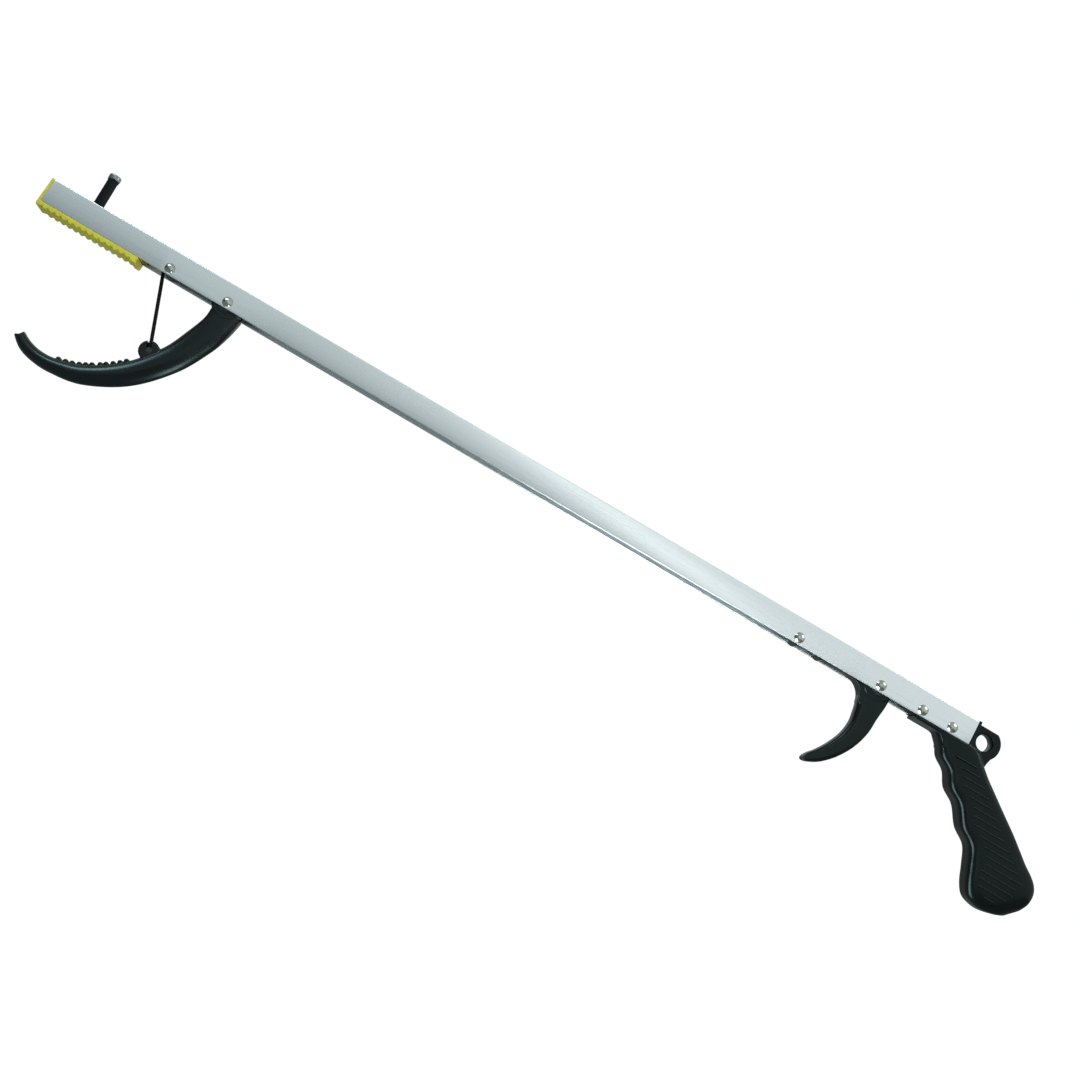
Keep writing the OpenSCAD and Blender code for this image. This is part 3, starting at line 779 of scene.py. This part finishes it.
def make_grip():
    palm = loft([ring(DOWN * along + BACK * (front + back) / 2, BACK, (back - front) / 2, wide,
                      4.6, 96, 5.2)
                 for along, front, back, wide in curve(GRIP_LINE, 10)])
    ob = solid("grip_moulding", [palm])
    lo, back_x = CH_LO.z, CH_HI.x
    combine(ob, [block((-90, -20, lo), (200, 20, 60))])
    # Web between flange and palm, with a round hollow in front
    neck, web_x, web_z, lobe_top = np.array([-38.4, -21]), -26.4, -19.6, 10.7
    hollow = [q for q in circle(neck, 10.4, 120) if q[0] > neck[0] and q[1] > web_z]
    hollow.sort(key=lambda q: math.atan2(q[1] - neck[1], q[0] - neck[0]))
    web = hollow + [np.array(q) for q in ((neck[0], lo + 0.5), (web_x, lo + 0.5), (web_x, web_z))]
    lobe = [q for q in circle((0, 0), 12.8, 160) if q[1] < lobe_top]
    lobe.sort(key=lambda q: -((math.atan2(q[1], q[0]) - math.pi / 2) % (2 * math.pi)))
    fillet = [(back_x, -20), (7.6, -20), (7.8, -16), (8.4, -12.5), (9.6, -8.5), (0, 0), (0, lobe_top),
              (back_x, lobe_top)]
    extra_ob = solid("grip_extra", [
        block((-55.5, -HALF_W, lo - 3), (-25, HALF_W, lo - 0.02)),
        prism(web, -HALF_W, HALF_W),
        block((back_x, -HALF_W, lo - 4), (back_x + 2.6, HALF_W, CH_HI.z + 0.9)),
        prism(lobe, -LOBE_HALF, LOBE_HALF),
        prism(fillet, -LOBE_HALF, LOBE_HALF),
    ])
    bpy.context.view_layer.objects.active = ob
    with bpy.context.temp_override(active_object=ob, selected_editable_objects=[ob, extra_ob]):
        bpy.ops.object.join()
    remesh(ob, 0.42, 18)
    bars = []
    for i in range(RIBS):
        z = -20.2 - RIB_STEP * i
        x0, x1 = rib_ends(z)
        for side in (-1, 1):
            bars.append(rib_bar(x0, x1, z, side, GRIP_HALF))
            if i in range(1, 11):
                bars.append(pip(x1 + 4.2, z - 1.3, side, GRIP_HALF - 0.15))
    combine(ob, bars, "UNION")
    tongue = block((-57.5, 0.1 - IN_HALF, lo - 1), (back_x + 0.5, IN_HALF - 0.1, IN_TOP - 0.1))
    combine(ob, [tongue], "UNION")
    flare, clear = 0.6, 4
    half = [(LOBE_HALF - flare, HANG_R), (LOBE_HALF, HANG_R + flare), (CUT, HANG_R + clear)]
    combine(ob, [pin_shape((0, 0), [(-y, r) for y, r in half[::-1]] + half, 96)])
    combine(ob, [prism(circle(p, BORE_R, 48), -CUT, CUT) for p in GRIP_RIVETS])
    return dress(ob, "black_grip", "frame", "grip", sharp=50)


# ---------------------------------------------------------------- pull cord


def braid(name, path, step=0.5, sides=8, lay=7.6):
    """Eight braided strands round a core, along path, a list of (x, z) points."""
    path = np.array(path, float)
    s = np.concatenate([[0], np.cumsum(np.linalg.norm(np.diff(path, axis=0), axis=1))])
    at = np.linspace(0, s[-1], max(4, int(s[-1] / step)))
    xz = np.stack([np.interp(at, s, path[:, 0]), np.interp(at, s, path[:, 1])], 1)
    d = np.gradient(xz, axis=0)
    d /= np.linalg.norm(d, axis=1)[:, None]
    tan = np.stack([d[:, 0], np.zeros(len(d)), d[:, 1]], 1)
    nor = np.stack([-d[:, 1], np.zeros(len(d)), d[:, 0]], 1)
    side = np.tile([0.0, 1.0, 0.0], (len(d), 1))
    mid_line = np.stack([xz[:, 0], np.zeros(len(d)), xz[:, 1]], 1)
    b = 2 * np.pi * np.arange(sides) / sides
    core_r, strand_r, over, strand_w, strand_h = 1.08, 1.04, 0.13, 0.56, 0.32

    def tube(centre, u, v, ru, rv):
        return loft([centre[i] + ru * np.outer(np.cos(b), u[i]) + rv * np.outer(np.sin(b), v[i])
                     for i in range(len(centre))])

    shells = [tube(mid_line, nor, side, core_r, core_r)]
    wave = np.cos(8 * np.pi * at / lay)
    for turn in (-1, 1):
        for k in range(4):
            t = turn * 2 * np.pi * at / lay + k * np.pi / 2
            out = nor * np.cos(t)[:, None] + side * np.sin(t)[:, None]
            around = -nor * np.sin(t)[:, None] + side * np.cos(t)[:, None]
            r = strand_r + turn * over * wave
            # The flat of the strand lies at right angles to its own heading
            lean = around - tan * (turn * 2 * np.pi * r / lay)[:, None]
            lean /= np.linalg.norm(lean, axis=1)[:, None]
            shells.append(tube(mid_line + out * r[:, None], lean, out, strand_w, strand_h))
    return dress(solid(name, shells), "black_cord", None, sharp=70)


def about(c, p, angle):
    """Point p turned about c."""
    d = np.array(p) - c
    u, v = math.cos(math.radians(angle)), math.sin(math.radians(angle))
    return c + np.array([d[0] * u - d[1] * v, d[0] * v + d[1] * u])


def widen(ob, path, deform, roof, most=2.0):
    """Widens a cord in its plane, as far as deform, the joint's turn, will thin it, under roof."""
    path = np.array(path, float)
    d = np.gradient(path, axis=0)
    d /= np.linalg.norm(d, axis=1)[:, None]
    normal = np.stack([-d[:, 1], d[:, 0]], 1)
    moved = np.gradient(np.array([deform(p) for p in path]), axis=0)
    factor = []
    for p, n, t in zip(path, normal, moved):
        a = deform(p + 0.5 * n) - deform(p - 0.5 * n)
        width = abs(a[0] * t[1] - a[1] * t[0]) / np.linalg.norm(t)
        room = (roof - p[1]) / 1.45
        factor.append(max(1.0, min(most, room, 1 / max(width, 0.01))))
    for vert in ob.data.vertices:
        p = np.array([vert.co.x, vert.co.z]) / MM
        i = int(np.argmin(((path - p) ** 2).sum(axis=1)))
        p = p + normal[i] * ((p - path[i]) @ normal[i]) * (factor[i] - 1)
        vert.co.x, vert.co.z = p * MM


def make_front_cord():
    """Turns with the jaw; runs straight from the barrel to where it meets the front guide."""
    way = FRONT_OFF - LUG
    front = braid("pull_cord_front_braid", [LUG + 0.2 * way / np.linalg.norm(way), FRONT_OFF])
    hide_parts("pull_cord_front")
    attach(front, "jaw")
    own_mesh(front)


def make_run_cord():
    a0 = tangent(FRONT, FRONT_LIFT, LUG, -1)
    a0 = a0 if a0 > 0 else a0 + 360
    a1 = tangent(REAR, REAR_LIFT, EYE_PIN, 1)
    path = [spot(FRONT, FRONT_LIFT, a) for a in np.linspace(a0, 90, 24)]
    path += [spot(REAR, REAR_LIFT, a) for a in np.linspace(90, a1, 8)]
    run = braid("pull_cord_run_braid", path, 0.75, 6)
    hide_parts("pull_cord_run")
    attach(run, "frame")


def make_rear_cord():
    """Shaped at rest so that it is nearly straight when the trigger is squeezed."""
    eye_in = about(TRIGGER, EYE_PIN, SQUEEZE)
    a1 = tangent(REAR, REAR_LIFT, EYE_PIN, 1)
    a2 = tangent(REAR, REAR_LIFT, eye_in, 1)
    start, end = spot(REAR, REAR_LIFT, a2), EYE_PIN

    def share(p):
        q = float(np.clip((p - start) @ (end - start) / ((end - start) @ (end - start)), 0, 1))
        return q * q * (3 - 2 * q)

    path = [spot(REAR, REAR_LIFT, a) for a in np.linspace(a1, a2, 8)][:-1]
    for t in np.linspace(0, 1, 40):
        goal = start + t * (eye_in - start)
        w = t
        for _ in range(200):
            here = about(TRIGGER, goal, -w * SQUEEZE)
            w += 0.3 * (share(here) - w)
        # The bow that the squeeze straightens stays under the channel's top
        path.append(np.array([here[0], min(here[1], IN_TOP - 1.6)]))
    rear = braid("pull_cord_rear_braid", path)
    widen(rear, path, lambda p: about(TRIGGER, p, share(p) * SQUEEZE), IN_TOP - 0.1)
    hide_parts("pull_cord_rear")
    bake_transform(rear)


make_channel()
make_pad()
make_horn()
make_rivets()
make_jaw()
make_spring()
make_trigger()
make_grip()
make_front_cord()
make_run_cord()
make_rear_cord()

# ---------------------------------------------------------------- stage and light


def make_floor():
    """Pale floor: white to the camera like the photograph's ground, and clear from below."""
    size, z = 12.0, -0.5
    mesh = bpy.data.meshes.new("floor")
    corners = [(-size, -size, z), (size, -size, z), (size, size, z), (-size, size, z)]
    mesh.from_pydata(corners, [], [(0, 1, 2, 3)])
    floor = bpy.data.objects.new("floor", mesh)
    scene.collection.objects.link(floor)
    mat = bpy.data.materials.new("floor_paper")
    mat.use_nodes = True
    tree = mat.node_tree
    tree.nodes.clear()
    out = tree.nodes.new("ShaderNodeOutputMaterial")
    paper = tree.nodes.new("ShaderNodeBsdfDiffuse")
    paper.inputs["Color"].default_value = (0.34, 0.355, 0.36, 1)
    white = tree.nodes.new("ShaderNodeEmission")
    white.inputs["Strength"].default_value = 1.02
    clear = tree.nodes.new("ShaderNodeBsdfTransparent")
    path = tree.nodes.new("ShaderNodeLightPath")
    shape = tree.nodes.new("ShaderNodeNewGeometry")
    seen = tree.nodes.new("ShaderNodeMixShader")
    both = tree.nodes.new("ShaderNodeMixShader")
    tree.links.new(path.outputs["Is Camera Ray"], seen.inputs[0])
    tree.links.new(paper.outputs[0], seen.inputs[1])
    tree.links.new(white.outputs[0], seen.inputs[2])
    tree.links.new(shape.outputs["Backfacing"], both.inputs[0])
    tree.links.new(seen.outputs[0], both.inputs[1])
    tree.links.new(clear.outputs[0], both.inputs[2])
    tree.links.new(both.outputs[0], out.inputs[0])
    mesh.materials.append(mat)


def make_world():
    """White to the camera, and a graded grey studio in light and reflections."""
    world = bpy.data.worlds.new("studio")
    scene.world = world
    world.use_nodes = True
    tree = world.node_tree
    tree.nodes.clear()
    out = tree.nodes.new("ShaderNodeOutputWorld")
    seen = tree.nodes.new("ShaderNodeBackground")
    seen.inputs["Color"].default_value = (1, 1, 1, 1)
    seen.inputs["Strength"].default_value = 1.02
    room = tree.nodes.new("ShaderNodeBackground")
    room.inputs["Strength"].default_value = 1.0
    path = tree.nodes.new("ShaderNodeLightPath")
    mix = tree.nodes.new("ShaderNodeMixShader")
    coord = tree.nodes.new("ShaderNodeTexCoord")
    dot = tree.nodes.new("ShaderNodeVectorMath")
    dot.operation = "DOT_PRODUCT"
    # The studio is brighter towards +X and overhead than towards the tip
    dot.inputs[1].default_value = (0.80, -0.25, 0.35)
    ramp = tree.nodes.new("ShaderNodeValToRGB")
    half = tree.nodes.new("ShaderNodeMath")
    half.operation = "MULTIPLY_ADD"
    half.inputs[1].default_value = 0.5
    half.inputs[2].default_value = 0.5
    elements = ramp.color_ramp.elements
    elements[0].position, elements[0].color = 0.12, (0.06, 0.075, 0.08, 1)
    elements[1].position, elements[1].color = 0.74, (0.82, 0.86, 0.865, 1)
    middle = elements.new(0.45)
    middle.color = (0.41, 0.46, 0.47, 1)
    tree.links.new(coord.outputs["Generated"], dot.inputs[0])
    tree.links.new(dot.outputs["Value"], half.inputs[0])
    tree.links.new(half.outputs[0], ramp.inputs["Fac"])
    # The backdrop behind the tool
    behind = tree.nodes.new("ShaderNodeVectorMath")
    behind.operation = "DOT_PRODUCT"
    behind.inputs[1].default_value = FORWARD
    edge = tree.nodes.new("ShaderNodeMapRange")
    edge.inputs["From Min"].default_value = 0.0
    edge.inputs["From Max"].default_value = 0.35
    drop = tree.nodes.new("ShaderNodeMixRGB")
    drop.inputs[2].default_value = (0.62, 0.66, 0.67, 1)
    tree.links.new(coord.outputs["Generated"], behind.inputs[0])
    tree.links.new(behind.outputs["Value"], edge.inputs["Value"])
    tree.links.new(edge.outputs["Result"], drop.inputs[0])
    tree.links.new(ramp.outputs["Color"], drop.inputs[1])
    tree.links.new(drop.outputs[0], room.inputs["Color"])
    tree.links.new(path.outputs["Is Camera Ray"], mix.inputs[0])
    tree.links.new(room.outputs[0], mix.inputs[1])
    tree.links.new(seen.outputs[0], mix.inputs[2])
    tree.links.new(mix.outputs[0], out.inputs[0])


def softbox(name, direction, distance, size_x, size_y, radiance, colour, aim=(-0.4, 0, -0.03)):
    """Area light in a direction given in the camera's right, up and towards-camera axes."""
    way = (RIGHT * direction[0] + UP * direction[1] - FORWARD * direction[2]).normalized()
    place = Vector(aim) + way * distance
    data = bpy.data.lights.new(name, "AREA")
    data.shape = "RECTANGLE"
    data.size, data.size_y = size_x, size_y
    data.energy = radiance * math.pi * size_x * size_y
    data.color = colour
    lamp = bpy.data.objects.new(name, data)
    side = UP.cross(way).normalized()
    lamp.matrix_world = facing(side, way.cross(side), way, place)
    lamp.visible_camera = False
    scene.collection.objects.link(lamp)


make_floor()
make_world()
softbox("top", (-0.12, 0.93, 0.35), 1.6, 0.9, 0.40, 9.0, (0.72, 0.92, 1.0), (-0.7, 0, -0.08))
softbox("left", (-0.70, -0.26, 0.66), 0.50, 0.26, 0.50, 10.0, (0.92, 0.98, 1.0), (0.045, 0, -0.06))
softbox("right", (0.80, 0.58, 0.16), 0.60, 0.32, 0.32, 4.0, (0.92, 0.98, 1.0), (0.045, 0, -0.06))
softbox("front", (0.30, 0.12, 0.94), 2.0, 0.10, 4.0, 2.0, (1.0, 1.0, 0.98))
